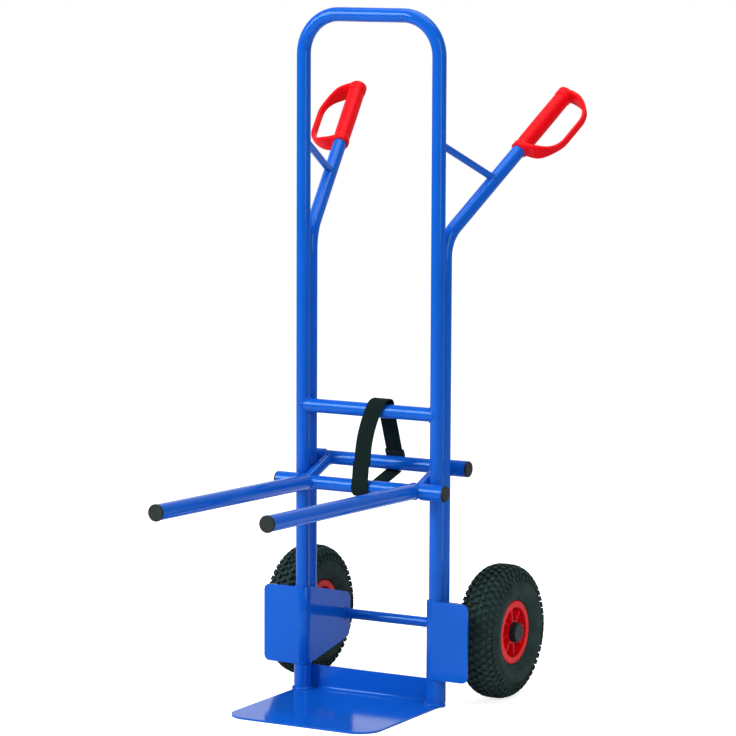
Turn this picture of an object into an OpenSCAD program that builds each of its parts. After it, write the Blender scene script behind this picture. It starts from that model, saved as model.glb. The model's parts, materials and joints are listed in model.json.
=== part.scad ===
// Hand truck for carrying stacked chairs: a tall tube frame on two pneumatic
// wheels, with two forward arms on a carriage that grips the uprights.
// Units are millimetres. +Z is up, the toe plate and arms point to -Y, and X is
// across the frame. The origin is on the floor, midway between the two feet.

/* [Frame] */
// distance between the centrelines of the two uprights
span = 293; // [250:1:340]
// height of the top bow's centreline above the floor
bow_h = 1313.5; // [1100:0.5:1500]
// centreline radius of the two top corners
bow_r = 76; // [50:1:120]
// outside diameter of the frame tubes
tube_d = 27; // [22:0.5:32]
// wall of every tube
tube_t = 2; // [1.5:0.1:3]
// height of the upper crossbar's centreline
crossbar_h = 562; // [450:1:800]

/* [Handles] */
// height at which the handle tubes leave the uprights
bend_h = 894.5; // [800:0.5:1000]
// centreline radius of that bend
bend_r = 70; // [50:1:100]
// angle of the handles above level
handle_rise = 36.8699; // [20:0.0001:60]
// angle by which each handle opens outwards
handle_splay = 14.25; // [0:0.05:30]
// length from the bend's corner to the end of the grip
handle_len = 439.5; // [350:0.5:520]
// length of the grip's sleeve
grip_len = 178; // [120:1:190]
// outside diameter of the grip's sleeve
grip_d = 33; // [30:0.5:40]
// distance from the sleeve's axis to the centreline of the hand guard
guard_out = 72.5; // [60:0.5:95]
// thickness of the hand guard
guard_d = 16; // [12:0.5:20]
// turn of the hand guard about the sleeve, downwards
guard_turn = 16; // [0:1:30]
// diameter of the brace rods between uprights and handles
rod_d = 14; // [10:0.5:18]
// height at which a brace rod meets the upright
rod_h = 1077; // [1000:1:1150]

/* [Toe plate and brackets] */
// width of the toe plate
toe_w = 316; // [280:1:400]
// reach of the toe plate in front of the uprights' centreline
toe_len = 281; // [200:1:320]
// thickness of the toe plate
toe_t = 4; // [3:0.5:6]
// height of the toe plate's back edge
toe_back_h = 49; // [30:1:80]
// radius of the toe plate's front corners
toe_corner = 46; // [10:1:60]
// reach of a wheel bracket from the frame's middle
bracket_x = 223.5; // [200:0.5:260]
// lower edge of a wheel bracket
bracket_z0 = 55; // [40:1:80]
// upper edge of a wheel bracket
bracket_z1 = 207; // [180:1:240]
// thickness of the bracket plate
bracket_t = 4; // [3:0.5:6]

/* [Wheels] */
// diameter of the tyre
wheel_d = 260; // [240:1:280]
// width of the tyre
wheel_w = 84; // [70:1:100]
// distance of each wheel's middle from the frame's middle
wheel_x = 213.5; // [200:0.5:240]
// distance of the axle behind the uprights
axle_y = 141; // [120:1:170]
// diameter of the axle
axle_d = 20; // [16:0.5:25]
// outside diameter of the rim
rim_d = 123; // [110:1:135]

/* [Arm carriage] */
// height of the front cross tube
front_z = 418.5; // [300:0.5:460]
// distance of the front cross tube in front of the uprights' centreline
front_y = 33.5; // [28:0.5:40]
// height of the rear cross tube
rear_z = 453.5; // [340:0.5:500]
// distance of the rear cross tube behind the uprights' centreline
rear_y = 60.5; // [55:0.5:70]
// half length of both cross tubes, over the plugs
cross_half = 184.5; // [170:0.5:210]
// distance of each arm's axis from the frame's middle
arm_x = 116; // [90:0.5:120]
// length of an arm from the front cross tube's axis, over the plug
arm_len = 545; // [400:1:620]
// outside diameter of an arm
arm_d = 30; // [27:0.5:34]
// angle of the arms above level
arm_rise = 1.9; // [0:0.1:5]
// distance of each link tube's axis from the frame's middle
link_x = 121.5; // [110:0.5:122]
// outside diameter of a link tube
link_d = 22; // [18:0.5:27]
// outside diameter of the sleeves that bear on the uprights
clamp_d = 31.4; // [29:0.1:34]

/* [Strap] */
// width of the webbing
strap_w = 35; // [25:1:50]
// thickness of the webbing
strap_t = 2.4; // [1.5:0.1:4]
// sideways place of the webbing
strap_x = 18; // [-60:1:60]
// height the webbing stands off the top of the crossbar
strap_rise = 8; // [0:0.5:15]

/* [Hidden] */
half = span / 2;
tube_r = tube_d / 2;
handle_y = tube_d;
wheel_r = wheel_d / 2;
axle_r = axle_d / 2;
rim_r = rim_d / 2;
side_x = half - tube_r;
toe_bend = 6;
toe_back_y = 17;
foot_r = 16.85;
foot_top = bracket_z0 - 1.5;
gap = 0.05;
bend_angle = 90 - handle_rise;
bend_cut = bend_r * tan(bend_angle / 2);
rod_drop = 74;
rod_back = 159;
rod_out = 33.1;
plug_t = 4;
handle_dir = [
    cos(handle_rise) * sin(handle_splay),
    cos(handle_rise) * cos(handle_splay),
    sin(handle_rise)
];
link_rise = atan2(rear_z - front_z, rear_y + front_y);
link_len = norm([rear_y + front_y, rear_z - front_z]);
hub_half = 36;
rim_half = 30.5;
barrel_r = 48.5;
valve_angle = 75;
rib_angle = 7;
guard_bend = 46;
guard_start = 15;
guard_low = 13;
guard_high = grip_len - 10;
axle_end = wheel_x + 33;

blue = [0.02, 0.16, 0.66];
red = [0.85, 0.03, 0.05];
red_rim = [0.9, 0.08, 0.1];
black = [0.06, 0.07, 0.07];
tyre_black = [0.09, 0.12, 0.11];
steel = [0.7, 0.7, 0.72];

// ---------- shared shapes ----------

module ring(r) {
    difference() {
        circle(r = r, $fn = 40);
        circle(r = r - tube_t, $fn = 40);
    }
}

module pipe(r, length) {
    linear_extrude(height = length) ring(r);
}

module mirrored() {
    mirror([1, 0, 0]) children();
}

// a tube along X, from x0 to x1
module cross_pipe(r, x0, x1) {
    translate([x0, 0, 0]) rotate([0, 90, 0]) pipe(r, x1 - x0);
}

// a solid bar along X, used for bars and for coping cuts
module cross_bar(r, x0, x1) {
    translate([x0, 0, 0]) rotate([0, 90, 0]) cylinder(r = r, h = x1 - x0, $fn = 40);
}

// places children at the bend's corner of the right handle, with +Z along the handle
module along_handle(s) {
    translate([half, handle_y, bend_h])
        rotate([0, 0, -handle_splay])
            rotate([-bend_angle, 0, 0])
                translate([0, 0, s]) children();
}

// ---------- frame ----------

module bow_corner() {
    translate([half - bow_r, 0, bow_h - bow_r])
        rotate([90, 0, 0])
            rotate_extrude(angle = 90, $fn = 56) translate([bow_r, 0]) ring(tube_r);
}

module upright() {
    difference() {
        translate([half, 0, toe_t]) pipe(tube_r, bow_h - bow_r - toe_t);
        toe_profile_cut();
    }
}

module u_frame() {
    color(blue) {
        upright();
        mirrored() upright();
        bow_corner();
        mirrored() bow_corner();
        translate([0, 0, bow_h]) cross_pipe(tube_r, bow_r - half, half - bow_r);
    }
}

module upper_crossbar() {
    color(blue) difference() {
        translate([0, 0, crossbar_h]) cross_pipe(tube_r, -half, half);
        translate([half, 0, crossbar_h - 40]) cylinder(r = tube_r + gap, h = 80, $fn = 40);
        translate([-half, 0, crossbar_h - 40]) cylinder(r = tube_r + gap, h = 80, $fn = 40);
    }
}

// the handle tube's path as a solid of radius r, running past both ends by a length
module handle_solid(r, past) {
    translate([0, 0, bracket_z0 + 1 - past])
        cylinder(r = r, h = bend_h - bend_cut - bracket_z0 - 1 + past, $fn = 40);
    translate([0, bend_r, bend_h - bend_cut])
        rotate([90, 0, -90])
            rotate_extrude(angle = bend_angle, $fn = 72)
                translate([bend_r, 0]) circle(r = r, $fn = 40);
    translate([0, 0, bend_h])
        rotate([-bend_angle, 0, 0]) translate([0, 0, bend_cut])
            cylinder(r = r, h = handle_len - bend_cut - 8 + past, $fn = 40);
}

module handle_tube() {
    color(blue) translate([half, handle_y + gap, 0]) rotate([0, 0, -handle_splay])
        difference() {
            handle_solid(tube_r, 0);
            handle_solid(tube_r - tube_t, 1);
        }
}

module handle_tube_left() {
    mirrored() handle_tube();
}

module handle_tube_right() {
    handle_tube();
}

module brace_rod() {
    color(blue) difference() {
        translate([half, 0, rod_h])
            rotate([0, acos(-rod_drop / norm([rod_out, rod_back, rod_drop])), atan2(rod_back, rod_out)])
                cylinder(d = rod_d, h = norm([rod_out, rod_back, rod_drop]), $fn = 28);
        translate([half, 0, rod_h - 60]) cylinder(r = tube_r + gap, h = 120, $fn = 40);
        translate([0, gap, 0]) along_handle(100) cylinder(r = tube_r + gap, h = 150, $fn = 40);
    }
}

module brace_rod_left() {
    mirrored() brace_rod();
}

module brace_rod_right() {
    brace_rod();
}

// ---------- grips ----------

module guard_arm(s) {
    translate([guard_start, 0, s])
        rotate([0, 90, 0])
            cylinder(d = guard_d, h = guard_out - guard_bend - guard_start, $fn = 32);
}

module grip() {
    color(red) translate([0, gap, 0]) along_handle(handle_len - grip_len)
        difference() {
            union() {
                cylinder(d = grip_d, h = grip_len, $fn = 40);
                rotate([0, 0, guard_turn]) {
                    guard_arm(guard_low);
                    guard_arm(guard_high);
                    translate([guard_out, 0, guard_low + guard_bend])
                        cylinder(d = guard_d, h = guard_high - guard_low - 2 * guard_bend, $fn = 32);
                    translate([guard_out - guard_bend, 0, guard_high - guard_bend])
                        rotate([90, 0, 0])
                            rotate_extrude(angle = 90, $fn = 48)
                                translate([guard_bend, 0]) circle(d = guard_d, $fn = 32);
                    translate([guard_out - guard_bend, 0, guard_low + guard_bend])
                        rotate([90, 90, 0])
                            rotate_extrude(angle = 90, $fn = 48)
                                translate([guard_bend, 0]) circle(d = guard_d, $fn = 32);
                }
            }
            translate([0, 0, -1]) cylinder(r = tube_r + gap, h = grip_len - 6, $fn = 40);
        }
}

module grip_left() {
    mirrored() grip();
}

module grip_right() {
    grip();
}

// ---------- toe plate and brackets ----------

// the plate's section in the Y-Z plane, drawn flat
module toe_section() {
    translate([toe_back_y, toe_t + toe_bend])
        square([toe_t, toe_back_h - toe_t - toe_bend]);
    intersection() {
        translate([toe_back_y - toe_bend, toe_t + toe_bend]) difference() {
            circle(r = toe_bend + toe_t, $fn = 64);
            circle(r = toe_bend, $fn = 64);
        }
        translate([toe_back_y - toe_bend, 0])
            square([toe_bend + toe_t, toe_bend + toe_t]);
    }
}

// the corner between plate and back edge, filled, so that feet can be cut to it
module toe_profile_cut() {
    rotate([90, 0, 90]) translate([0, 0, -toe_w / 2]) linear_extrude(height = toe_w)
        difference() {
            translate([toe_back_y - toe_bend, -1]) square([30, toe_bend + toe_t + 1]);
            translate([toe_back_y - toe_bend, toe_t + toe_bend])
                circle(r = toe_bend - gap, $fn = 64);
        }
}

module toe_plate() {
    color(blue) {
        rotate([90, 0, 90]) translate([0, 0, -toe_w / 2])
            linear_extrude(height = toe_w) toe_section();
        linear_extrude(height = toe_t) {
            translate([-toe_w / 2, toe_corner - toe_len])
                square([toe_w, toe_len - toe_corner + toe_back_y - toe_bend]);
            translate([toe_corner - toe_w / 2, -toe_len])
                square([toe_w - 2 * toe_corner, toe_corner + 1]);
            for (side = [-1, 1])
                translate([side * (toe_w / 2 - toe_corner), toe_corner - toe_len])
                    circle(r = toe_corner, $fn = 80);
        }
    }
}

module foot_sleeve() {
    color(blue) difference() {
        translate([half, 0, toe_t]) cylinder(r = foot_r, h = foot_top - toe_t, $fn = 40);
        translate([half, 0, 0]) cylinder(r = tube_r + gap, h = foot_top + 1, $fn = 40);
        toe_profile_cut();
    }
}

module foot_sleeve_left() {
    mirrored() foot_sleeve();
}

module foot_sleeve_right() {
    foot_sleeve();
}

// outline of the flange that carries the axle, in the Y-Z plane, behind the bend
module bracket_side_outline() {
    polygon([
        [0, bracket_z0], [13, bracket_z0 + 3], [axle_y, bracket_z0 + 26],
        [axle_y + 9, bracket_z0 + 31], [axle_y + 15, bracket_z0 + 41],
        [axle_y + 16, bracket_z1 - 50], [axle_y + 12, bracket_z1 - 39],
        [axle_y, bracket_z1 - 33], [0, bracket_z1]
    ]);
}

// outline of the plate in front of the tyre, in the X-Z plane
module bracket_front_outline() {
    corner = 12;
    translate([half, bracket_z0]) square([bracket_x - half - corner, bracket_z1 - bracket_z0]);
    translate([bracket_x - corner - 1, bracket_z0 + corner])
        square([corner + 1, bracket_z1 - bracket_z0 - 2 * corner]);
    for (z = [bracket_z0 + corner, bracket_z1 - corner])
        translate([bracket_x - corner, z]) circle(r = corner, $fn = 48);
}

// one bent sheet: a plate in front of the tyre, a bend round the upright, and the axle's flange
module wheel_bracket() {
    color(blue) difference() {
        union() {
            translate([0, -tube_r - gap, 0]) rotate([90, 0, 0])
                linear_extrude(height = bracket_t) bracket_front_outline();
            translate([half, 0, bracket_z0]) rotate([0, 0, 180])
                rotate_extrude(angle = 90, $fn = 56) translate([tube_r + gap, 0])
                    square([bracket_t, bracket_z1 - bracket_z0]);
            translate([side_x - bracket_t - gap, 0, 0]) rotate([90, 0, 90])
                linear_extrude(height = bracket_t) bracket_side_outline();
        }
        translate([100, axle_y, wheel_r]) rotate([0, 90, 0])
            cylinder(r = axle_r + gap, h = 60, $fn = 40);
    }
}

module wheel_bracket_left() {
    mirrored() wheel_bracket();
}

module wheel_bracket_right() {
    wheel_bracket();
}

// ---------- axle ----------

module at_axle() {
    translate([0, axle_y, wheel_r]) children();
}

// a plain ring around the axle, from x0 to x1
module axle_ring(r_in, r_out, x0, x1) {
    at_axle() translate([x0, 0, 0]) rotate([0, 90, 0]) difference() {
        cylinder(r = r_out, h = x1 - x0, $fn = 40);
        translate([0, 0, -1]) cylinder(r = r_in, h = x1 - x0 + 2, $fn = 40);
    }
}

module axle() {
    color(blue) at_axle() cross_bar(axle_r, -axle_end, axle_end);
}

module axle_spacer() {
    color(steel)
        axle_ring(axle_r + gap, axle_r + 4, side_x + gap, wheel_x - hub_half - 3);
}

module axle_spacer_left() {
    mirrored() axle_spacer();
}

module axle_spacer_right() {
    axle_spacer();
}

module washer_pair() {
    axle_ring(axle_r + gap, axle_r + 7, wheel_x - hub_half - 2.8, wheel_x - hub_half - 0.5);
    axle_ring(axle_r + gap, axle_r + 4.5, wheel_x + 27.5, wheel_x + 29.5);
}

module axle_washers() {
    color(steel) {
        washer_pair();
        mirrored() washer_pair();
    }
}

module axle_clips() {
    color(steel) {
        axle_ring(axle_r + gap, axle_r + 3.5, wheel_x + 29.7, wheel_x + 31.2);
        mirrored() axle_ring(axle_r + gap, axle_r + 3.5, wheel_x + 29.7, wheel_x + 31.2);
    }
}

// ---------- wheels ----------

// places children in the right wheel: +Z there is outwards along the axle, +X is up
module in_wheel() {
    translate([wheel_x, axle_y, wheel_r]) rotate([0, 90, 0]) rotate([0, 0, 180]) children();
}

module tyre_outer() {
    shoulder = 34;
    w = wheel_w / 2;
    translate([wheel_r - 55, -w + shoulder]) square([55, 2 * (w - shoulder)]);
    translate([66, -w + 4]) square([wheel_r - shoulder - 66, 2 * w - 8]);
    for (side = [-1, 1]) {
        translate([wheel_r - shoulder, side * (w - shoulder)]) circle(r = shoulder, $fn = 40);
        translate([80, side * (w - 12)]) circle(r = 12, $fn = 32);
    }
    translate([51, -26]) square([20, 52]);
    translate([rim_r + 1, -31]) square([15, 62]);
}

module tyre_inner() {
    shoulder = 24;
    w = wheel_w / 2 - 7;
    translate([73, -w + shoulder]) square([wheel_r - 8 - 73, 2 * (w - shoulder)]);
    translate([85, -w]) square([wheel_r - 8 - shoulder - 85, 2 * w]);
    for (side = [-1, 1]) {
        translate([wheel_r - 8 - shoulder, side * (w - shoulder)]) circle(r = shoulder, $fn = 40);
        translate([85, side * (w - 12)]) circle(r = 12, $fn = 32);
    }
    translate([50, -17]) square([30, 34]);
}

module tyre() {
    color(tyre_black) in_wheel() rotate_extrude($fn = 72) difference() {
        tyre_outer();
        tyre_inner();
    }
}

module inner_tube() {
    color(black) in_wheel() rotate_extrude($fn = 48)
        translate([92, 0]) difference() {
            circle(r = 24, $fn = 28);
            circle(r = 22, $fn = 28);
        }
}

module rim_section() {
    translate([barrel_r, -rim_half + 2]) square([50.7 - barrel_r, 2 * rim_half - 4]);
    for (side = [-1, 1]) {
        translate([barrel_r, side * (rim_half - 2) - 2]) square([rim_r - 2 - barrel_r, 4]);
        translate([rim_r - 2.2, side * (rim_half - 2.2)]) circle(r = 2.2, $fn = 20);
    }
    translate([20, -3]) square([barrel_r - 19, 6]);
    translate([14 + gap, -hub_half]) square([8, hub_half + 27]);
}

module rim() {
    color(red_rim) in_wheel() {
        rotate_extrude($fn = 64) rim_section();
        for (k = [0:7])
            rotate([0, 0, rib_angle + 45 * k])
                translate([21, -1.6, -rim_half + 4])
                    cube([barrel_r - 20, 3.2, 2 * rim_half - 8]);
    }
}

module bearing_sleeve() {
    color(steel) in_wheel() rotate_extrude($fn = 48)
        translate([axle_r + gap, -hub_half + 1]) square([4 - gap, hub_half + 25]);
}

module valve_stem() {
    color(black) in_wheel() rotate([0, 0, valve_angle]) translate([0, 0, 14])
        rotate([0, 90, 0]) {
            translate([0, 0, 30]) cylinder(d = 6, h = barrel_r - 30.2, $fn = 24);
            translate([0, 0, 26]) cylinder(d = 8, h = 8, $fn = 24);
        }
}

module hub_cap() {
    color(black) in_wheel() rotate_extrude($fn = 48) {
        translate([0, 37]) square([17.5, 3]);
        translate([0, 34.8]) square([19.5, 3.4]);
        translate([17.3, 27.05]) square([2.2, 9]);
    }
}

module tyre_left() {
    mirrored() tyre();
}

module tyre_right() {
    tyre();
}

module inner_tube_left() {
    mirrored() inner_tube();
}

module inner_tube_right() {
    inner_tube();
}

module rim_left() {
    mirrored() rim();
}

module rim_right() {
    rim();
}

module bearing_sleeve_left() {
    mirrored() bearing_sleeve();
}

module bearing_sleeve_right() {
    bearing_sleeve();
}

module valve_stem_left() {
    mirrored() valve_stem();
}

module valve_stem_right() {
    valve_stem();
}

module hub_cap_left() {
    mirrored() hub_cap();
}

module hub_cap_right() {
    hub_cap();
}

// ---------- arm carriage ----------

module plug_pair(r, x) {
    for (side = [0, 1])
        mirror([side, 0, 0]) translate([x - plug_t, 0, 0]) rotate([0, 90, 0]) {
            translate([0, 0, -16]) cylinder(r = r - tube_t - gap, h = 17, $fn = 36);
            cylinder(r = r + 1.8, h = plug_t - 1, $fn = 36);
            cylinder(r = r + 0.8, h = plug_t, $fn = 36);
        }
}

// the two thicker sleeves of a cross tube, which touch the uprights when the arms carry a load
module clamp_pair() {
    for (side = [0, 1])
        mirror([side, 0, 0]) translate([side_x + gap, 0, 0]) rotate([0, 90, 0]) difference() {
            cylinder(d = clamp_d, h = cross_half - plug_t - side_x - gap, $fn = 40);
            translate([0, 0, -1]) cylinder(r = tube_r + gap, h = cross_half - side_x, $fn = 40);
        }
}

module rear_cross_tube() {
    color(blue) translate([0, rear_y, rear_z])
        cross_pipe(tube_r, plug_t - cross_half, cross_half - plug_t);
}

module rear_clamp_sleeves() {
    color(blue) translate([0, rear_y, rear_z]) clamp_pair();
}

module rear_tube_plugs() {
    color(black) translate([0, rear_y, rear_z]) plug_pair(tube_r, cross_half);
}

module front_cross_tube() {
    color(blue) translate([0, -front_y, front_z])
        cross_pipe(tube_r, plug_t - cross_half, cross_half - plug_t);
}

module front_clamp_sleeves() {
    color(blue) translate([0, -front_y, front_z]) clamp_pair();
}

module front_tube_plugs() {
    color(black) translate([0, -front_y, front_z]) plug_pair(tube_r, cross_half);
}

module link_tube() {
    color(blue) difference() {
        translate([link_x, -front_y, front_z])
            rotate([link_rise - 90, 0, 0]) pipe(link_d / 2, link_len);
        translate([0, -front_y, front_z]) cross_bar(tube_r + gap, link_x - 30, link_x + 30);
        translate([0, rear_y, rear_z]) cross_bar(tube_r + 0.3, link_x - 30, link_x + 30);
    }
}

module link_tube_left() {
    mirrored() link_tube();
}

module link_tube_right() {
    link_tube();
}

module along_arm(s) {
    translate([arm_x, -front_y, front_z]) rotate([90 - arm_rise, 0, 0])
        translate([0, 0, s]) children();
}

module arm() {
    color(blue) difference() {
        along_arm(4) pipe(arm_d / 2, arm_len - 4 - plug_t);
        translate([0, -front_y, front_z]) cross_bar(tube_r + gap, arm_x - 30, arm_x + 30);
    }
}

module arm_left() {
    mirrored() arm();
}

module arm_right() {
    arm();
}

module arm_plug() {
    along_arm(arm_len - plug_t) {
        translate([0, 0, -20]) cylinder(r = arm_d / 2 - tube_t - gap, h = 21, $fn = 36);
        cylinder(r = arm_d / 2 + 0.8, h = plug_t - 1, $fn = 36);
        cylinder(r = arm_d / 2 - 0.2, h = plug_t, $fn = 36);
    }
}

module arm_plugs() {
    color(black) {
        arm_plug();
        mirrored() arm_plug();
    }
}

// ---------- strap ----------

// the strap's loop in the Y-Z plane, standing off every tube by a distance
module strap_outline(away) {
    hull() {
        translate([0, crossbar_h + strap_rise]) circle(r = tube_r + away, $fn = 48);
        translate([-front_y, front_z]) circle(r = tube_r + away, $fn = 48);
        translate([rear_y, rear_z]) circle(r = tube_r + away, $fn = 48);
    }
}

module strap_loop() {
    color(black) translate([strap_x - strap_w / 2, 0, 0]) rotate([90, 0, 90])
        linear_extrude(height = strap_w) difference() {
            strap_outline(0.4 + strap_t);
            strap_outline(0.4);
        }
}

// a flat loop that holds the two layers of the rear strand together
module strap_keeper() {
    turn = atan2(crossbar_h + strap_rise - rear_z, rear_y);
    color(black)
        translate([strap_x, rear_y, rear_z]) rotate([90 - turn, 0, 0])
            translate([0, tube_r + 0.4 + strap_t / 2, 20])
                difference() {
                    cube([strap_w + 5, strap_t + 4.6, 14], center = true);
                    cube([strap_w + 0.8, strap_t + 0.8, 20], center = true);
                }
}

u_frame();
upper_crossbar();
handle_tube_left();
handle_tube_right();
brace_rod_left();
brace_rod_right();
grip_left();
grip_right();
toe_plate();
foot_sleeve_left();
foot_sleeve_right();
wheel_bracket_left();
wheel_bracket_right();
axle();
axle_spacer_left();
axle_spacer_right();
axle_washers();
axle_clips();
tyre_left();
inner_tube_left();
rim_left();
bearing_sleeve_left();
valve_stem_left();
hub_cap_left();
tyre_right();
inner_tube_right();
rim_right();
bearing_sleeve_right();
valve_stem_right();
hub_cap_right();
rear_cross_tube();
rear_clamp_sleeves();
rear_tube_plugs();
front_cross_tube();
front_clamp_sleeves();
front_tube_plugs();
link_tube_left();
link_tube_right();
arm_left();
arm_right();
arm_plugs();
strap_loop();
strap_keeper();
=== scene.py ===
"""Looks of the hand truck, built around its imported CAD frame.

Metres, +Z up. The toe plate and the arms point to -Y, and X runs across the frame.
"""
import json
import math

import bmesh
import bpy
from mathutils import Matrix, Vector


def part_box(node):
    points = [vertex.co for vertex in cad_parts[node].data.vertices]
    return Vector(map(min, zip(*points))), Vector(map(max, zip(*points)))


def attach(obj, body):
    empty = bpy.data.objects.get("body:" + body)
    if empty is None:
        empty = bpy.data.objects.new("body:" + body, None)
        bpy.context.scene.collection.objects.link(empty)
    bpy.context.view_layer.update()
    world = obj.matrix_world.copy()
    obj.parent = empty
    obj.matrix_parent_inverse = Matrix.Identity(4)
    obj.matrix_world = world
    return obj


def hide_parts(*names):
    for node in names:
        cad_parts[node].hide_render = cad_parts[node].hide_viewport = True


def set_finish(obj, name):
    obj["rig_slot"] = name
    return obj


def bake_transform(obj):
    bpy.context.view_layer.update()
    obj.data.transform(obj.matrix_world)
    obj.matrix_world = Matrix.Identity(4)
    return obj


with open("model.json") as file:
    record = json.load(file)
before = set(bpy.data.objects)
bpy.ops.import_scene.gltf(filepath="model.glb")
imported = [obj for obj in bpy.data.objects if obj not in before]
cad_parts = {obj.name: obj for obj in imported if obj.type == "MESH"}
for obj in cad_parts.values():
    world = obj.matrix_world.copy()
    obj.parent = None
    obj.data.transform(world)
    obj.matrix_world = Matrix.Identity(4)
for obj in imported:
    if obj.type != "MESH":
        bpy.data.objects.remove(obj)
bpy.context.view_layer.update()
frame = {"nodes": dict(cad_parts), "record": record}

MM = 0.001
TAU = 2 * math.pi
X_AXIS = Vector((1, 0, 0))
Z_AXIS = Vector((0, 0, 1))


# ---------- measures taken from the frame ----------

def centre(node):
    low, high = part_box(node)
    return (Vector(low) + Vector(high)) / 2


def span(node):
    low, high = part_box(node)
    return Vector(high) - Vector(low)


TUBE_R = span("front_cross_tube").z / 2
HALF = span("u_frame").x / 2 - TUBE_R
CROSSBAR = centre("upper_crossbar")
FRONT_TUBE = centre("front_cross_tube")
REAR_TUBE = centre("rear_cross_tube")
ARM_X = centre("arm_right").x
LINK_X = centre("link_tube_right").x
LINK_R = span("link_tube_right").x / 2
ARM_R = span("arm_right").x / 2
AXLE = centre("axle")
AXLE_R = span("axle").z / 2
WHEEL_X = centre("tyre_right").x
WHEEL_R = span("tyre_right").z / 2
WHEEL_HALF = span("tyre_right").x / 2
FOOT_R = span("foot_sleeve_right").x / 2
BRACKET_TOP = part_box("wheel_bracket_right")[1][2]
BRACKET_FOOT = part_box("wheel_bracket_right")[0][2]
BRACKET_INNER_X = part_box("wheel_bracket_right")[0][0]
TOE_T = 4 * MM
ARM_SLOPE = -0.033

# the handle leaves its upright at this corner, rises and opens outwards
HANDLE_CORNER = Vector((HALF, 2 * TUBE_R, 894.5 * MM))
HANDLE_RISE = math.radians(36.8699)
HANDLE_SPLAY = math.radians(14.25)
HANDLE_LENGTH = 439.5 * MM
GRIP_LENGTH = 178 * MM
GUARD_OUT = 71 * MM
GUARD_TURN = math.radians(16)
GUARD_BEND = 50 * MM
GUARD_LOW = 9 * MM
GUARD_HIGH = GRIP_LENGTH - 7 * MM
GUARD_TOP_BEND = 60 * MM
ROD_R = 7 * MM
ROD_START = Vector((HALF, 0, 1077 * MM))
ROD_RUN = Vector((33.1, 159, -74)) * MM

STRAP_W = 35 * MM
STRAP_T = 2.2 * MM
STRAP_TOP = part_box("strap_loop")[1][2]
# the front strand ends this far above the front tube, under the lap of the lower strand
STRAP_GAP = 40 * MM
STRAP_LAP = 47 * MM
# the keeper band's reach along the rear strand, from where it leaves the rear tube
KEEPER_START = 6 * MM
KEEPER_END = 20 * MM


# ---------- materials ----------

def new_material(name):
    material = bpy.data.materials.new(name)
    material.use_nodes = True
    tree = material.node_tree
    return material, tree, tree.nodes["Principled BSDF"]


def add(tree, kind, **values):
    node = tree.nodes.new(kind)
    for key, value in values.items():
        setattr(node, key, value)
    return node


def noise_at(tree, scale, detail=2.0, stretch=(1, 1, 1)):
    """A noise texture in object space, with scale in cells per metre."""
    place = add(tree, "ShaderNodeTexCoord")
    mapping = add(tree, "ShaderNodeMapping")
    mapping.inputs["Scale"].default_value = stretch
    tree.links.new(place.outputs["Object"], mapping.inputs["Vector"])
    noise = add(tree, "ShaderNodeTexNoise")
    noise.inputs["Scale"].default_value = scale
    noise.inputs["Detail"].default_value = detail
    tree.links.new(mapping.outputs["Vector"], noise.inputs["Vector"])
    return noise.outputs["Fac"]


def ramp(tree, value, stops):
    """A colour ramp over value. stops are (place, colour)."""
    node = add(tree, "ShaderNodeValToRGB")
    elements = node.color_ramp.elements
    while len(elements) < len(stops):
        elements.new(0.5)
    for element, (place, colour) in zip(elements, stops):
        element.position = place
        element.color = (*colour, 1)
    tree.links.new(value, node.inputs["Fac"])
    return node.outputs["Color"]


def grey(value):
    return (value, value, value)


def bump(tree, height, strength, distance, normal=None):
    node = add(tree, "ShaderNodeBump")
    node.inputs["Strength"].default_value = strength
    node.inputs["Distance"].default_value = distance
    tree.links.new(height, node.inputs["Height"])
    if normal is not None:
        tree.links.new(normal, node.inputs["Normal"])
    return node.outputs["Normal"]


def blue_paint():
    material, tree, shader = new_material("blue_paint")
    tone = noise_at(tree, 9, 3)
    tree.links.new(ramp(tree, tone, [(0.3, (0.003, 0.093, 0.52)), (0.7, (0.0045, 0.106, 0.57))]),
                   shader.inputs["Base Color"])
    tree.links.new(ramp(tree, noise_at(tree, 60, 4), [(0.3, grey(0.08)), (0.75, grey(0.12))]),
                   shader.inputs["Roughness"])
    shader.inputs["IOR"].default_value = 1.34
    shader.inputs["Specular Tint"].default_value = (0.55, 0.85, 1, 1)
    peel = bump(tree, noise_at(tree, 260, 2), 0.10, 0.6 * MM)
    tree.links.new(bump(tree, noise_at(tree, 38, 1), 0.05, 2 * MM, peel), shader.inputs["Normal"])
    return material


def grip_plastic():
    material, tree, shader = new_material("grip_plastic")
    tone = noise_at(tree, 25, 3)
    tree.links.new(ramp(tree, tone, [(0.3, (0.70, 0.002, 0.006)), (0.7, (0.80, 0.003, 0.010))]),
                   shader.inputs["Base Color"])
    tree.links.new(ramp(tree, noise_at(tree, 180, 3), [(0.3, grey(0.34)), (0.7, grey(0.46))]),
                   shader.inputs["Roughness"])
    shader.inputs["IOR"].default_value = 1.22
    shader.inputs["Specular Tint"].default_value = (1, 0.5, 0.5, 1)
    tree.links.new(bump(tree, noise_at(tree, 900, 2), 0.12, 0.3 * MM), shader.inputs["Normal"])
    return material


def rim_plastic():
    material, tree, shader = new_material("rim_plastic")
    tone = noise_at(tree, 30, 3)
    tree.links.new(ramp(tree, tone, [(0.3, (0.72, 0.003, 0.009)), (0.7, (0.82, 0.005, 0.015))]),
                   shader.inputs["Base Color"])
    tree.links.new(ramp(tree, noise_at(tree, 120, 3), [(0.3, grey(0.22)), (0.7, grey(0.3))]),
                   shader.inputs["Roughness"])
    shader.inputs["IOR"].default_value = 1.26
    shader.inputs["Specular Tint"].default_value = (1, 0.6, 0.6, 1)
    tree.links.new(bump(tree, noise_at(tree, 500, 2), 0.08, 0.3 * MM), shader.inputs["Normal"])
    return material


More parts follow.
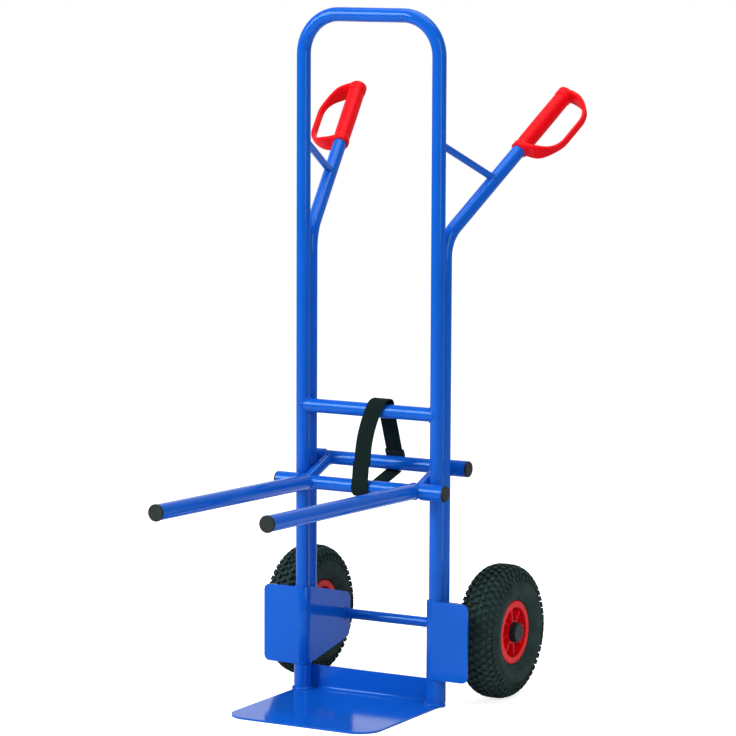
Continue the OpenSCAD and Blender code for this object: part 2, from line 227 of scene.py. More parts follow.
def tyre_rubber():
    material, tree, shader = new_material("tyre_rubber")
    dust = noise_at(tree, 45, 5)
    tree.links.new(ramp(tree, dust, [(0.25, (0.010, 0.026, 0.024)), (0.5, (0.018, 0.040, 0.037)),
                                     (0.8, (0.028, 0.058, 0.053))]), shader.inputs["Base Color"])
    tree.links.new(ramp(tree, noise_at(tree, 90, 4), [(0.3, grey(0.62)), (0.7, grey(0.8))]),
                   shader.inputs["Roughness"])
    shader.inputs["IOR"].default_value = 1.25
    fine = bump(tree, noise_at(tree, 1500, 3), 0.35, 0.25 * MM)
    tree.links.new(bump(tree, noise_at(tree, 120, 3), 0.3, 0.8 * MM, fine), shader.inputs["Normal"])
    return material


def tube_rubber():
    material, tree, shader = new_material("tube_rubber")
    tree.links.new(ramp(tree, noise_at(tree, 60, 3), [(0.3, grey(0.012)), (0.7, grey(0.022))]),
                   shader.inputs["Base Color"])
    shader.inputs["Roughness"].default_value = 0.7
    return material


def black_plastic():
    material, tree, shader = new_material("black_plastic")
    tone = noise_at(tree, 70, 3)
    tree.links.new(ramp(tree, tone, [(0.3, (0.006, 0.012, 0.012)), (0.7, (0.012, 0.021, 0.021))]),
                   shader.inputs["Base Color"])
    tree.links.new(ramp(tree, noise_at(tree, 200, 3), [(0.3, grey(0.42)), (0.7, grey(0.56))]),
                   shader.inputs["Roughness"])
    shader.inputs["IOR"].default_value = 1.36
    tree.links.new(bump(tree, noise_at(tree, 1100, 2), 0.2, 0.3 * MM), shader.inputs["Normal"])
    return material


def zinc_steel():
    material, tree, shader = new_material("zinc_steel")
    tree.links.new(ramp(tree, noise_at(tree, 40, 4), [(0.3, (0.5, 0.51, 0.53)), (0.7, (0.66, 0.67, 0.69))]),
                   shader.inputs["Base Color"])
    shader.inputs["Metallic"].default_value = 1
    tree.links.new(ramp(tree, noise_at(tree, 300, 3), [(0.3, grey(0.28)), (0.7, grey(0.42))]),
                   shader.inputs["Roughness"])
    tree.links.new(bump(tree, noise_at(tree, 700, 2, (0.1, 1, 1)), 0.15, 0.2 * MM), shader.inputs["Normal"])
    return material


def webbing():
    """Flat woven strap: ribs along it, with the threads of each rib half a step off its neighbours'."""
    material, tree, shader = new_material("webbing")
    place = add(tree, "ShaderNodeUVMap")
    place.uv_map = "weave"
    split = add(tree, "ShaderNodeSeparateXYZ")
    tree.links.new(place.outputs["UV"], split.inputs["Vector"])

    def wave(axis, pitch, shift=None):
        turn = add(tree, "ShaderNodeMath", operation="MULTIPLY")
        turn.inputs[1].default_value = TAU / pitch
        tree.links.new(split.outputs[axis], turn.inputs[0])
        source = turn.outputs[0]
        if shift is not None:
            both = add(tree, "ShaderNodeMath", operation="ADD")
            tree.links.new(source, both.inputs[0])
            tree.links.new(shift, both.inputs[1])
            source = both.outputs[0]
        sine = add(tree, "ShaderNodeMath", operation="SINE")
        tree.links.new(source, sine.inputs[0])
        return sine.outputs[0]

    across = wave("Y", 2.4 * MM)
    swap = add(tree, "ShaderNodeMath", operation="SIGN")
    tree.links.new(across, swap.inputs[0])
    half_turn = add(tree, "ShaderNodeMath", operation="MULTIPLY")
    half_turn.inputs[1].default_value = math.pi / 2
    tree.links.new(swap.outputs[0], half_turn.inputs[0])
    along = wave("X", 2.0 * MM, half_turn.outputs[0])
    ridge = add(tree, "ShaderNodeMath", operation="ABSOLUTE")
    tree.links.new(across, ridge.inputs[0])
    weave = add(tree, "ShaderNodeMath", operation="MULTIPLY_ADD")
    tree.links.new(along, weave.inputs[0])
    weave.inputs[1].default_value = 0.5
    tree.links.new(ridge.outputs[0], weave.inputs[2])
    # The base colour follows the weave's height and is darkest in the grooves between ribs and threads:
    # painted shade in the weave.
    tree.links.new(ramp(tree, weave.outputs[0], [(0.1, (0.002, 0.006, 0.006)), (0.6, (0.005, 0.014, 0.014)),
                                                 (1, (0.009, 0.022, 0.021))]), shader.inputs["Base Color"])
    shader.inputs["Roughness"].default_value = 0.82
    shader.inputs["IOR"].default_value = 1.15
    tree.links.new(bump(tree, weave.outputs[0], 0.5, 0.5 * MM), shader.inputs["Normal"])
    return material


def pale_floor():
    """A lit white sweep, bright enough that only the contact shadows show on it."""
    material, tree, shader = new_material("pale_floor")
    shader.inputs["Base Color"].default_value = (0.8, 0.8, 0.8, 1)
    shader.inputs["Roughness"].default_value = 1
    shader.inputs["Specular IOR Level"].default_value = 0
    shader.inputs["Emission Color"].default_value = (0.77, 0.77, 0.77, 1)
    seen = add(tree, "ShaderNodeLightPath")
    tree.links.new(seen.outputs["Is Camera Ray"], shader.inputs["Emission Strength"])
    return material


MATERIALS = {
    "blue_paint": blue_paint(),
    "grip_plastic": grip_plastic(),
    "rim_plastic": rim_plastic(),
    "tyre_rubber": tyre_rubber(),
    "tube_rubber": tube_rubber(),
    "black_plastic": black_plastic(),
    "zinc_steel": zinc_steel(),
    "webbing": webbing(),
}


def paint_cad_nodes():
    """Every CAD node takes the material of its slot in the record."""
    for part in frame["record"]["subparts"]:
        mesh = frame["nodes"][part["node"]].data
        mesh.materials.clear()
        mesh.materials.append(MATERIALS[part["material_slot"]])


# ---------- mesh helpers ----------

def make_piece(name, verts, faces, slot, smooth=True):
    mesh = bpy.data.meshes.new(name)
    mesh.from_pydata([tuple(v) for v in verts], [], faces)
    mesh.validate()
    mesh.update()
    for polygon in mesh.polygons:
        polygon.use_smooth = smooth
    mesh.materials.append(MATERIALS[slot])
    piece = bpy.data.objects.new(name, mesh)
    bpy.context.scene.collection.objects.link(piece)
    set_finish(piece, slot)
    return piece


def mirrored_piece(piece, name):
    """A copy of piece on the other side of the frame."""
    mesh = piece.data.copy()
    mesh.name = name
    mesh.transform(Matrix.Scale(-1, 4, X_AXIS))
    mesh.flip_normals()
    copy = bpy.data.objects.new(name, mesh)
    bpy.context.scene.collection.objects.link(copy)
    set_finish(copy, piece["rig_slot"])
    return copy


def grid_faces(rings, width, closed_rings, first=0):
    """Quads between rings of width vertices each."""
    faces = []
    for i in range(rings if closed_rings else rings - 1):
        a = first + i * width
        b = first + (i + 1) % rings * width
        for j in range(width):
            k = (j + 1) % width
            faces.append((a + j, a + k, b + k, b + j))
    return faces


def tangents(points, closed):
    count = len(points)
    found = []
    for i in range(count):
        before = points[(i - 1) % count] if closed or i else points[0]
        after = points[(i + 1) % count] if closed or i < count - 1 else points[-1]
        found.append((after - before).normalized())
    return found


def sweep(points, section, closed=False):
    """A closed tube through points. section(i) gives a ring of (side, up) offsets, which keep level."""
    verts = []
    width = 0
    side = None
    for i, (point, forward) in enumerate(zip(points, tangents(points, closed))):
        if side is None:
            side = forward.orthogonal().normalized()
        side = (side - forward * side.dot(forward)).normalized()
        up = forward.cross(side)
        ring = section(i)
        width = len(ring)
        verts += [point + side * a + up * b for a, b in ring]
    faces = grid_faces(len(points), width, closed)
    if not closed:
        faces.append(tuple(range(width))[::-1])
        faces.append(tuple(range(len(verts) - width, len(verts))))
    return verts, faces


def circle_ring(radius, sides):
    return [(radius * math.cos(TAU * k / sides), radius * math.sin(TAU * k / sides)) for k in range(sides)]


# ---------- welds ----------

BEAD_R = 2.1 * MM
ROD_BEAD_R = 1.7 * MM
LINK_BEAD_R = 1.9 * MM
AXLE_BEAD_R = 2.4 * MM
PLATE_BEAD_R = 2.5 * MM
HANDLE_BEAD_R = 2.6 * MM
FOOT_BEAD_R = 3.7 * MM
RIPPLE = 2.6 * MM
# the short beads between handle tube and upright
HANDLE_WELDS = {"top": 812 * MM, "middle": 520 * MM, "low": 262 * MM}
HANDLE_WELD_LENGTH = 34 * MM
HANDLE_GROOVE = 6.5 * MM
PLATE_WELD_HALF = 10 * MM


def bead(name, body, points, closed, radius=BEAD_R):
    """A weld bead through points, with the ripples of its passes."""
    run = 0
    radii = []
    for i, point in enumerate(points):
        if i:
            run += (point - points[i - 1]).length
        wobble = 0.16 * math.sin(TAU * run / RIPPLE) + 0.1 * math.sin(TAU * run / (5.3 * RIPPLE))
        radii.append(radius * (1 + wobble))
    if not closed:
        for i, taper in enumerate((0.35, 0.75)):
            radii[i] *= taper
            radii[-1 - i] *= taper
    verts, faces = sweep(points, lambda i: circle_ring(radii[i], 8), closed)
    piece = make_piece(name, verts, faces, "blue_paint")
    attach(piece, body)
    return piece


def meeting_line(start, direction, radius, post, post_axis, post_r, steps=72):
    """Where a tube that runs from start along direction first meets a post's round side."""
    direction = direction.normalized()
    side = direction.orthogonal().normalized()
    up = direction.cross(side)
    flat = direction - post_axis * direction.dot(post_axis)
    points = []
    for k in range(steps):
        turn = TAU * k / steps
        point = start + (side * math.cos(turn) + up * math.sin(turn)) * radius
        away = point - post
        away -= post_axis * away.dot(post_axis)
        a = flat.dot(flat)
        b = away.dot(flat)
        c = away.dot(away) - post_r * post_r
        reach = (-b - math.sqrt(max(b * b - a * c, 0))) / a
        points.append(point + direction * reach)
    return points


def both_sides(name, body, points, closed, radius=BEAD_R):
    """The same bead on the right and on the left of the frame."""
    bead(name + "_right", body, points, closed, radius)
    bead(name + "_left", body, [Vector((-p.x, p.y, p.z)) for p in points], closed, radius)


def line(start, end, steps=24):
    return [start.lerp(end, k / steps) for k in range(steps + 1)]


def handle_axes():
    """Across, down-forward and along directions of the right handle."""
    across = Vector((math.cos(HANDLE_SPLAY), -math.sin(HANDLE_SPLAY), 0))
    along = Vector((math.cos(HANDLE_RISE) * math.sin(HANDLE_SPLAY),
                    math.cos(HANDLE_RISE) * math.cos(HANDLE_SPLAY), math.sin(HANDLE_RISE)))
    return across, along.cross(across), along


def make_welds():
    upright = Vector((HALF, 0, 0))
    both_sides("crossbar_weld", "frame",
               meeting_line(CROSSBAR, X_AXIS, TUBE_R, upright, Z_AXIS, TUBE_R), True)
    along = handle_axes()[2]
    rod_middle = ROD_START + ROD_RUN * 0.5
    both_sides("rod_upright_weld", "frame",
               meeting_line(rod_middle, -ROD_RUN, ROD_R, upright, Z_AXIS, TUBE_R), True, ROD_BEAD_R)
    both_sides("rod_handle_weld", "frame",
               meeting_line(rod_middle, ROD_RUN, ROD_R, HANDLE_CORNER, along, TUBE_R), True, ROD_BEAD_R)
    for side, place in (("outer", HALF + HANDLE_GROOVE), ("inner", HALF - HANDLE_GROOVE)):
        for level, height in HANDLE_WELDS.items():
            start = Vector((place, TUBE_R, height))
            end = start + Z_AXIS * HANDLE_WELD_LENGTH
            both_sides(f"handle_{level}_{side}_weld", "frame", line(start, end), False, HANDLE_BEAD_R)
    ring = [Vector((BRACKET_INNER_X - 0.4 * MM, AXLE.y + a, AXLE.z + b))
            for a, b in circle_ring(AXLE_R + 0.8 * MM, 60)]
    both_sides("axle_weld", "frame", ring, True, AXLE_BEAD_R)
    plate_y = -TUBE_R - 0.6 * MM
    for level, height in (("top", BRACKET_TOP), ("foot", BRACKET_FOOT)):
        start = Vector((HALF - PLATE_WELD_HALF, plate_y, height))
        end = Vector((HALF + PLATE_WELD_HALF, plate_y, height))
        both_sides(f"bracket_{level}_weld", "frame", line(start, end), False, PLATE_BEAD_R)
    foot = []
    for k in range(49):
        turn = math.radians(160 + 220 * k / 48)
        foot.append(Vector((HALF + (FOOT_R + 0.6 * MM) * math.cos(turn), (FOOT_R + 0.6 * MM) * math.sin(turn),
                            TOE_T + 0.6 * MM)))
    both_sides("foot_weld", "frame", foot, False, FOOT_BEAD_R)
    arm_start = Vector((ARM_X, FRONT_TUBE.y - 60 * MM, FRONT_TUBE.z + 2 * MM))
    both_sides("arm_weld", "arm_fork",
               meeting_line(arm_start, Vector((0, 1, ARM_SLOPE)), ARM_R, FRONT_TUBE, X_AXIS, TUBE_R), True)
    link_run = REAR_TUBE - FRONT_TUBE
    link_middle = FRONT_TUBE + link_run * 0.5 + X_AXIS * LINK_X
    both_sides("link_front_weld", "arm_fork",
               meeting_line(link_middle, -link_run, LINK_R, FRONT_TUBE, X_AXIS, TUBE_R), True, LINK_BEAD_R)
    both_sides("link_rear_weld", "arm_fork",
               meeting_line(link_middle, link_run, LINK_R, REAR_TUBE, X_AXIS, TUBE_R), True, LINK_BEAD_R)


# ---------- grips ----------

def guard_path(steps=14):
    """The guard's centreline in its own plane, as (out, along)."""
    points = [(out * MM, GUARD_LOW) for out in (0, 9, 18)]
    inner = GUARD_OUT - GUARD_BEND
    for k in range(steps + 1):
        turn = math.pi / 2 * k / steps
        points.append((inner + GUARD_BEND * math.sin(turn), GUARD_LOW + GUARD_BEND * (1 - math.cos(turn))))
    straight = GUARD_HIGH - GUARD_LOW - GUARD_BEND - GUARD_TOP_BEND
    inner = GUARD_OUT - GUARD_TOP_BEND
    points += [(GUARD_OUT, GUARD_LOW + GUARD_BEND + straight * k / 6) for k in range(1, 6)]
    for k in range(steps + 1):
        turn = math.pi / 2 * k / steps
        drop = GUARD_TOP_BEND * (1 - math.sin(turn))
        points.append((inner + GUARD_TOP_BEND * math.cos(turn), GUARD_HIGH - drop))
    return points + [(out * MM, GUARD_HIGH) for out in (6, 0)]


def rounded_section(width, height, corner, steps=4):
    """A rounded rectangle as a ring of (side, up)."""
    ring = []
    for quarter, (sx, sy) in enumerate(((1, 1), (-1, 1), (-1, -1), (1, -1))):
        for k in range(steps + 1):
            turn = math.pi / 2 * (quarter + k / steps)
            ring.append((sx * (width / 2 - corner) + corner * math.cos(turn),
                         sy * (height / 2 - corner) + corner * math.sin(turn)))
    return ring


def smooth_step(value):
    value = min(max(value, 0), 1)
    return value * value * (3 - 2 * value)


def grip_parts():
    """The grip's overlapping solids, in its own axes: X out to the guard, Z along the sleeve."""
    verts = []
    faces = []

    def join(new_verts, new_faces):
        first = len(verts)
        verts.extend(new_verts)
        faces.extend(tuple(first + k for k in face) for face in new_faces)

    path = guard_path()
    points = [Vector((out, 0, along)) for out, along in path]
    rings = []
    forwards = tangents(points, False)
    for (out, along), point, forward in zip(path, points, forwards):
        wide = 33 * MM - 18 * MM * smooth_step((out - 32 * MM) / (GUARD_OUT - 33 * MM))
        thick = 8.4 * MM
        side = Vector((0, 1, 0))
        up = forward.cross(side)
        rings += [point + side * a + up * b for a, b in rounded_section(wide, thick, 3.4 * MM)]
    width = len(rings) // len(points)
    caps = [tuple(range(width))[::-1], tuple(range(len(rings) - width, len(rings)))]
    join(rings, grid_faces(len(points), width, False) + caps)

    def turned(profile, sides=48):
        body = [Vector((r * math.cos(TAU * k / sides), r * math.sin(TAU * k / sides), z))
                for r, z in profile for k in range(sides)]
        ends = [tuple(range(sides))[::-1], tuple(range(len(body) - sides, len(body)))]
        join(body, grid_faces(len(profile), sides, False) + ends)

    end = GRIP_LENGTH
    sleeve = 16.2 * MM
    collar = 17.4 * MM
    turned([(sleeve - 0.6 * MM, 1 * MM), (sleeve, 30 * MM), (sleeve + 0.3 * MM, end / 2),
            (sleeve, end - 30 * MM), (sleeve, end - 2 * MM)])
    turned([(collar - 1 * MM, 0), (collar, 1 * MM), (collar, 11 * MM), (sleeve, 15 * MM)])
    turned([(sleeve, end - 23 * MM), (collar, end - 19 * MM), (collar, end - 3 * MM), (collar - 3 * MM, end)])
    return verts, faces


def fused(piece, voxel, passes):
    """Turns piece's overlapping solids into one smooth closed skin."""
    remesh = piece.modifiers.new("fuse", "REMESH")
    remesh.mode = "VOXEL"
    remesh.voxel_size = voxel
    smooth = piece.modifiers.new("smooth", "SMOOTH")
    smooth.factor = 0.5
    smooth.iterations = passes
    mesh = bpy.data.meshes.new_from_object(piece.evaluated_get(bpy.context.evaluated_depsgraph_get()))
    piece.modifiers.clear()
    piece.data = mesh
    for polygon in mesh.polygons:
        polygon.use_smooth = True


def make_grips():
    verts, faces = grip_parts()
    grip = make_piece("grip_right_shell", verts, faces, "grip_plastic")
    fused(grip, 1.0 * MM, 4)
    across, down, along = handle_axes()
    guard = across * math.cos(GUARD_TURN) + down * math.sin(GUARD_TURN)
    start = HANDLE_CORNER + along * (HANDLE_LENGTH - GRIP_LENGTH)
    axes = Matrix((guard, along.cross(guard), along)).transposed().to_4x4()
    grip.data.transform(Matrix.Translation(start) @ axes)
    other = mirrored_piece(grip, "grip_left_shell")
    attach(grip, "frame")
    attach(other, "frame")
    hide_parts("grip_right")
    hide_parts("grip_left")


# ---------- tyres ----------

TREAD_COUNT = 50
TREAD_DEPTH = 6 * MM
SHOULDER = 34 * MM
SHOULDER_R = WHEEL_R - SHOULDER
CROWN_HALF = WHEEL_HALF - SHOULDER
TREAD_EDGE = math.radians(86)


def shoulder_point(turn, depth):
    """A point on the tyre's shoulder, as (radius, sideways)."""
    reach = SHOULDER - depth
    return SHOULDER_R + reach * math.cos(turn), CROWN_HALF + reach * math.sin(turn)


def carcass_profile():
    """Half of the carcass outline, from the crown out to the rim, as (radius, sideways)."""
    half = [(WHEEL_R - TREAD_DEPTH, 0)]
    for k in range(15):
        turn = TREAD_EDGE * k / 14
        half.append(shoulder_point(turn, TREAD_DEPTH * (1 - 0.45 * (k / 14) ** 3)))
    half.append(shoulder_point(TREAD_EDGE + 0.05, 0.5 * MM))
    half.append(shoulder_point(TREAD_EDGE + 0.09, 0))
    side = WHEEL_HALF
    half += [(95.5 * MM, side), (92 * MM, side - 0.1 * MM), (91.4 * MM, side - 0.8 * MM),
             (90.4 * MM, side - 0.8 * MM), (89.8 * MM, side - 0.2 * MM), (85 * MM, side - 0.6 * MM),
             (80 * MM, side - 1.6 * MM),
             (75 * MM, side - 3.4 * MM), (71.5 * MM, side - 5.2 * MM), (71 * MM, side - 6.2 * MM),
             (70 * MM, side - 6.4 * MM), (69.4 * MM, side - 5.8 * MM), (67 * MM, side - 7.2 * MM),
             (64.4 * MM, side - 9.4 * MM), (63 * MM, side - 11.6 * MM), (62.2 * MM, side - 13 * MM),
             (61.9 * MM, side - 16 * MM), (56 * MM, side - 16.4 * MM)]
    return half


def tread_rows():
    """The places of the rows of blocks across the tread, as signed distances along the outline."""
    reach = CROWN_HALF + SHOULDER * TREAD_EDGE
    rows = 9
    pitch = 2 * (reach - 1.5 * MM) / rows
    return [(k - (rows - 1) / 2) * pitch for k in range(rows)], pitch


def tread_point(distance, height):
    """The point of the tread at a signed distance from its middle, standing height off the carcass."""
    sign = 1 if distance >= 0 else -1
    distance = abs(distance)
    if distance <= CROWN_HALF:
        return WHEEL_R - TREAD_DEPTH + height, sign * distance
    turn = (distance - CROWN_HALF) / SHOULDER
    radius, side = shoulder_point(turn, TREAD_DEPTH - height)
    return radius, sign * side


ARROW = ((-0.50, -0.50), (0.24, -0.50), (0.50, 0.0), (0.24, 0.50), (-0.50, 0.50), (-0.32, 0.0))


def add_tread_block(verts, faces, turn, distance, pitch, flip):
    long = TAU * WHEEL_R / TREAD_COUNT * 0.56
    wide = pitch * 0.64
    first = len(verts)
    layers = ((-1.2 * MM, 1.03), (TREAD_DEPTH - 0.6 * MM, 1), (TREAD_DEPTH, 0.88))
    for height, scale in layers:
        for along, across in ARROW:
            radius, side = tread_point(distance + across * wide * scale, height)
            angle = turn + flip * along * scale * long / WHEEL_R
            verts.append(Vector((side, radius * math.cos(angle), radius * math.sin(angle))))
    count = len(ARROW)
    order = 1 if flip > 0 else -1
    for layer in range(len(layers) - 1):
        for k in range(count):
            a = first + layer * count + k
            b = first + layer * count + (k + 1) % count
            faces.append((a, b, b + count, a + count)[::order])
    top = first + (len(layers) - 1) * count
    for cap, way in ((top, 1), (first, -1)):
        faces.append(tuple(cap + k for k in (0, 1, 2, 5))[::way * order])
        faces.append(tuple(cap + k for k in (5, 2, 3, 4))[::way * order])


def make_tyres():
    half = carcass_profile()
    profile = [(r, -x) for r, x in half[:0:-1]] + half
    steps = 180
    verts = []
    for k in range(steps):
        turn = TAU * k / steps
        verts += [Vector((x, r * math.cos(turn), r * math.sin(turn))) for r, x in profile]
    faces = grid_faces(steps, len(profile), True)
    smooth_count = len(faces)
    rows, pitch = tread_rows()
    for row, distance in enumerate(rows):
        for k in range(TREAD_COUNT):
            turn = TAU * (k + 0.5 * (row % 2)) / TREAD_COUNT
            add_tread_block(verts, faces, turn, distance, pitch, 1 if row % 2 else -1)
    place = Vector((WHEEL_X, AXLE.y, AXLE.z))
    tyre = make_piece("tyre_right_tread", [v + place for v in verts], faces, "tyre_rubber")
    for polygon in tyre.data.polygons[smooth_count:]:
        polygon.use_smooth = False
    recalculate(tyre)
    other = mirrored_piece(tyre, "tyre_left_tread")
    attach(tyre, "wheel_right")
    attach(other, "wheel_left")
    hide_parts("tyre_right")
    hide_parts("tyre_left")


def recalculate(piece):
    """Turns every closed shell's faces outwards."""
    work = bmesh.new()
    work.from_mesh(piece.data)
    bmesh.ops.recalc_face_normals(work, faces=work.faces)
    work.to_mesh(piece.data)
    work.free()


# ---------- strap ----------

def arc(centre_point, radius, start, end, steps):
    """Points (y, z) on a circle, between two angles in degrees."""
    found = []
    for k in range(steps + 1):
        turn = math.radians(start + (end - start) * k / steps)
        found.append((centre_point.y + radius * math.cos(turn), centre_point.z + radius * math.sin(turn)))
    return found


def strap_piece(name, route, thick=STRAP_T, width=STRAP_W):
    """Webbing along route, a list of (x, y, z): the strap lies across X."""
    points = [Vector(p[:3]) for p in route]
    verts = []
    uvs = []
    run = 0
    ring = rounded_section(width, thick, thick * 0.45, 3)
    for i, (point, forward) in enumerate(zip(points, tangents(points, False))):
        if i:
            run += (point - points[i - 1]).length
        across = X_AXIS - forward * forward.dot(X_AXIS)
        across.normalize()
        out = forward.cross(across)
        verts += [point + across * a + out * b for a, b in ring]
        uvs += [(run, a) for a, b in ring]
    count = len(ring)
    faces = grid_faces(len(points), count, False)
    faces.append(tuple(range(count))[::-1])
    faces.append(tuple(range(len(verts) - count, len(verts))))
    piece = make_piece(name, verts, faces, "webbing")
    layer = piece.data.uv_layers.new(name="weave")
    for loop in piece.data.loops:
        layer.data[loop.index].uv = uvs[loop.vertex_index]
    recalculate(piece)
    piece["strap_length"] = run
    return piece


def sideways(route, keys):
    """Adds X to a list of (y, z): keys are (share of the length, X), joined smoothly."""
    lengths = [0]
    for a, b in zip(route, route[1:]):
        lengths.append(lengths[-1] + math.hypot(b[0] - a[0], b[1] - a[1]))
    found = []
    for (y, z), run in zip(route, lengths):
        share = run / lengths[-1]
        for (s0, x0), (s1, x1) in zip(keys, keys[1:]):
            if s0 <= share <= s1 + 1e-9:
                found.append(x0 + (x1 - x0) * (share - s0) / (s1 - s0))
                break
    for _ in range(40):
        inner = [(a + 2 * b + c) / 4 for a, b, c in zip(found, found[1:], found[2:])]
        found = [found[0], *inner, found[-1]]
    return [(x, y, z) for x, (y, z) in zip(found, route)]


def refine(route, step=2.5 * MM):
    """Adds points so that no stretch of (y, z) points is longer than step."""
    found = [route[0]]
    for a, b in zip(route, route[1:]):
        length = math.hypot(b[0] - a[0], b[1] - a[1])
        count = max(1, math.ceil(length / step))
        for k in range(1, count + 1):
            found.append((a[0] + (b[0] - a[0]) * k / count, a[1] + (b[1] - a[1]) * k / count))
    return found


def make_strap():
    reach = TUBE_R + 0.6 * MM + STRAP_T / 2
    front, rear = FRONT_TUBE, REAR_TUBE
    top = Vector((0, CROSSBAR.y, STRAP_TOP - reach - STRAP_T / 2))
    front_side = math.degrees(math.atan2(front.z - top.z, front.y - top.y)) - 90
    rear_side = math.degrees(math.atan2(rear.z - top.z, rear.y - top.y)) + 90
    low_side = math.degrees(math.atan2(rear.z - front.z, rear.y - front.y)) - 90

    climb = Vector((0, top.y - front.y, top.z - front.z)).normalized()
    low_y, low_z = arc(front, reach, front_side, front_side, 1)[0]
    front_end = (low_y + climb.y * STRAP_GAP, low_z + climb.z * STRAP_GAP)
    loop = [front_end] + arc(top, reach, front_side + 360, rear_side, 20)
    rear_wrap = arc(rear, reach, rear_side, low_side, 16)
    upper = refine(loop + rear_wrap)
    keys = [(0, 7), (0.1, 5), (0.2, 7), (0.3, 13), (0.37, 21), (0.42, 28), (0.48, 30), (0.54, 26),
            (0.86, 19), (1, 18)]
    route = sideways(upper, [(share, x * MM) for share, x in keys])
    total = len(route)
    middle = min(range(total), key=lambda i: -route[i][2])
    front_strand = strap_piece("strap_front_strand", route[:middle + 1])
    rear_strand = strap_piece("strap_rear_strand", route[middle:])

    over = reach + STRAP_T + 0.2 * MM
    start = arc(front, over, front_side, front_side, 1)[0]
    lap_end = (start[0] + climb.y * STRAP_LAP, start[1] + climb.z * STRAP_LAP)
    lower = [lap_end] + arc(front, over, front_side, low_side, 16)
    rear_low = arc(rear, over, low_side, low_side + 6, 1)
    lower = refine(lower + rear_low)
    lower_keys = [(0, 5 * MM), (0.2, 7 * MM), (0.5, 6 * MM), (1, 17 * MM)]
    wrap = strap_piece("strap_lower_strand", sideways(lower, lower_keys))
    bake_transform(front_strand)
    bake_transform(rear_strand)
    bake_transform(wrap)
    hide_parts("strap_loop")
    make_keeper(Vector(route[-len(rear_wrap)]), Vector(route[-len(rear_wrap) - 8]))


def make_keeper(low, high):
    """The flat band round the rear strand, just above the rear tube."""
    forward = (high - low).normalized()
    across = (X_AXIS - forward * forward.dot(X_AXIS)).normalized()
    out = forward.cross(across)
    inner = rounded_section(STRAP_W + 1 * MM, 2 * STRAP_T + 0.6 * MM, 1 * MM)
    outer = rounded_section(STRAP_W + 5 * MM, 2 * STRAP_T + 3.6 * MM, 2.4 * MM)
    verts = []
    start, end = KEEPER_START, KEEPER_END
    for ring, reach in ((outer, start), (outer, end), (inner, end), (inner, start)):
        verts += [low + forward * reach + across * a + out * b for a, b in ring]
    keeper = make_piece("strap_keeper_band", verts, grid_faces(4, len(outer), True), "black_plastic", False)
    recalculate(keeper)
    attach(keeper, "slider")
    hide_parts("strap_keeper")


# ---------- crisp edges on the plates ----------

def soften_edges(node, width):
    """A small bevel on the hard edges of a CAD node, which catches the light as real sheet does."""
    piece = frame["nodes"][node]
    weld = piece.modifiers.new("weld", "WELD")
    weld.merge_threshold = 0.01 * MM
    bevel = piece.modifiers.new("bevel", "BEVEL")
    bevel.width = width
    bevel.segments = 2
    bevel.limit_method = "ANGLE"
    bevel.angle_limit = math.radians(40)
    bevel.harden_normals = True


# ---------- stage, light and camera ----------

def area_light(name, place, target, size, power, colour=(1, 1, 1)):
    data = bpy.data.lights.new(name, "AREA")
    data.shape = "RECTANGLE"
    data.size, data.size_y = size
    data.energy = power
    data.color = colour
    light = bpy.data.objects.new(name, data)
    light.location = place
    light.rotation_euler = (Vector(target) - Vector(place)).to_track_quat("-Z", "Y").to_euler()
    bpy.context.scene.collection.objects.link(light)


def make_floor():
    mesh = bpy.data.meshes.new("floor")
    size = 150
    corners = [(-size, -size, 0), (size, -size, 0), (size, size, 0), (-size, size, 0)]
    mesh.from_pydata(corners, [], [(0, 1, 2, 3)])
    mesh.materials.append(pale_floor())
    floor = bpy.data.objects.new("floor", mesh)
    bpy.context.scene.collection.objects.link(floor)


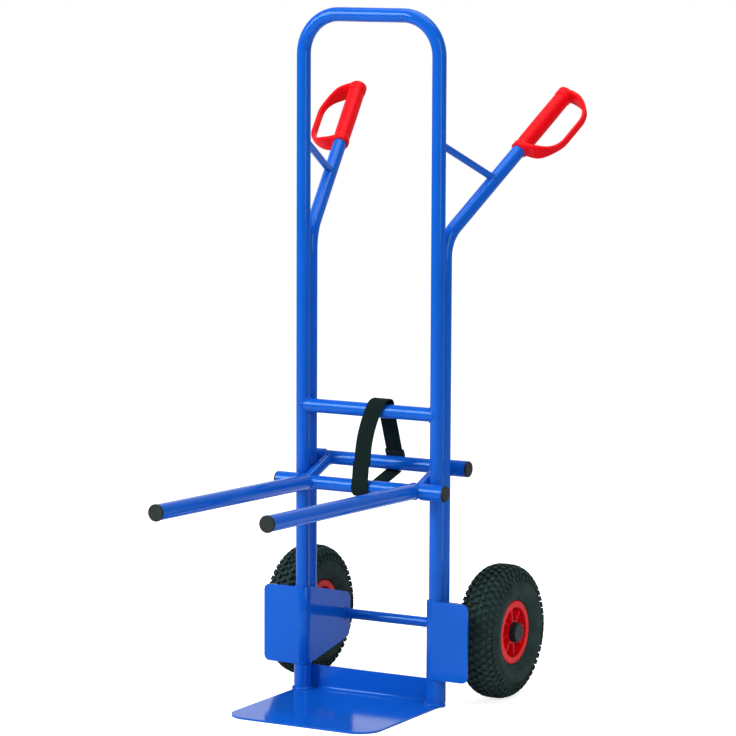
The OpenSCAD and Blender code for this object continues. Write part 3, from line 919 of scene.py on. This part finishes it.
def make_world():
    """White backdrop behind the truck, and a dim studio at its sides and in front."""
    world = bpy.data.worlds.new("studio")
    world.use_nodes = True
    tree = world.node_tree
    background = tree.nodes["Background"]
    place = tree.nodes.new("ShaderNodeTexCoord")
    facing = tree.nodes.new("ShaderNodeVectorMath")
    facing.operation = "DOT_PRODUCT"
    facing.inputs[1].default_value = (-0.49, 0.87, 0)
    tree.links.new(place.outputs["Generated"], facing.inputs[0])
    shade = ramp(tree, facing.outputs["Value"], [(0.5, grey(0.22)), (0.92, grey(0.9))])
    seen = add(tree, "ShaderNodeLightPath")
    blend = add(tree, "ShaderNodeMixRGB")
    tree.links.new(seen.outputs["Is Camera Ray"], blend.inputs["Fac"])
    tree.links.new(shade, blend.inputs["Color1"])
    blend.inputs["Color2"].default_value = (1, 1, 1, 1)
    tree.links.new(blend.outputs["Color"], background.inputs["Color"])
    background.inputs["Strength"].default_value = 1.0
    bpy.context.scene.world = world


def make_camera():
    azimuth = math.radians(29.16)
    pitch = math.radians(7.28)
    roll = math.radians(0.24)
    right = Vector((math.cos(azimuth), math.sin(azimuth), 0))
    level = Vector((-math.sin(azimuth), math.cos(azimuth), 0))
    forward = level * math.cos(pitch) - Z_AXIS * math.sin(pitch)
    up = right.cross(forward)
    side = right * math.cos(roll) + up * math.sin(roll)
    top = up * math.cos(roll) - right * math.sin(roll)
    data = bpy.data.cameras.new("camera")
    data.sensor_width = 36
    data.lens = 173.2
    data.clip_end = 400
    camera = bpy.data.objects.new("camera", data)
    turn = Matrix((side, top, -forward)).transposed().to_4x4()
    camera.matrix_world = Matrix.Translation((3.26255, -5.85368, 1.49872)) @ turn
    bpy.context.scene.collection.objects.link(camera)
    bpy.context.scene.camera = camera


bpy.context.scene.view_settings.view_transform = "Standard"
make_camera()
make_world()
make_floor()
area_light("key", (-2.6, -3.2, 2.8), (0, 0, 0.6), (2.4, 2.4), 205)
area_light("fill", (3.0, -1.6, 1.8), (0, 0, 0.6), (1.4, 2.6), 40)
area_light("top", (0.2, 0.3, 3.6), (0, 0, 0.5), (2.6, 2.6), 65)
paint_cad_nodes()
for plate in ("toe_plate", "wheel_bracket_left", "wheel_bracket_right"):
    soften_edges(plate, 0.9 * MM)
make_welds()
make_grips()
make_tyres()
make_strap()
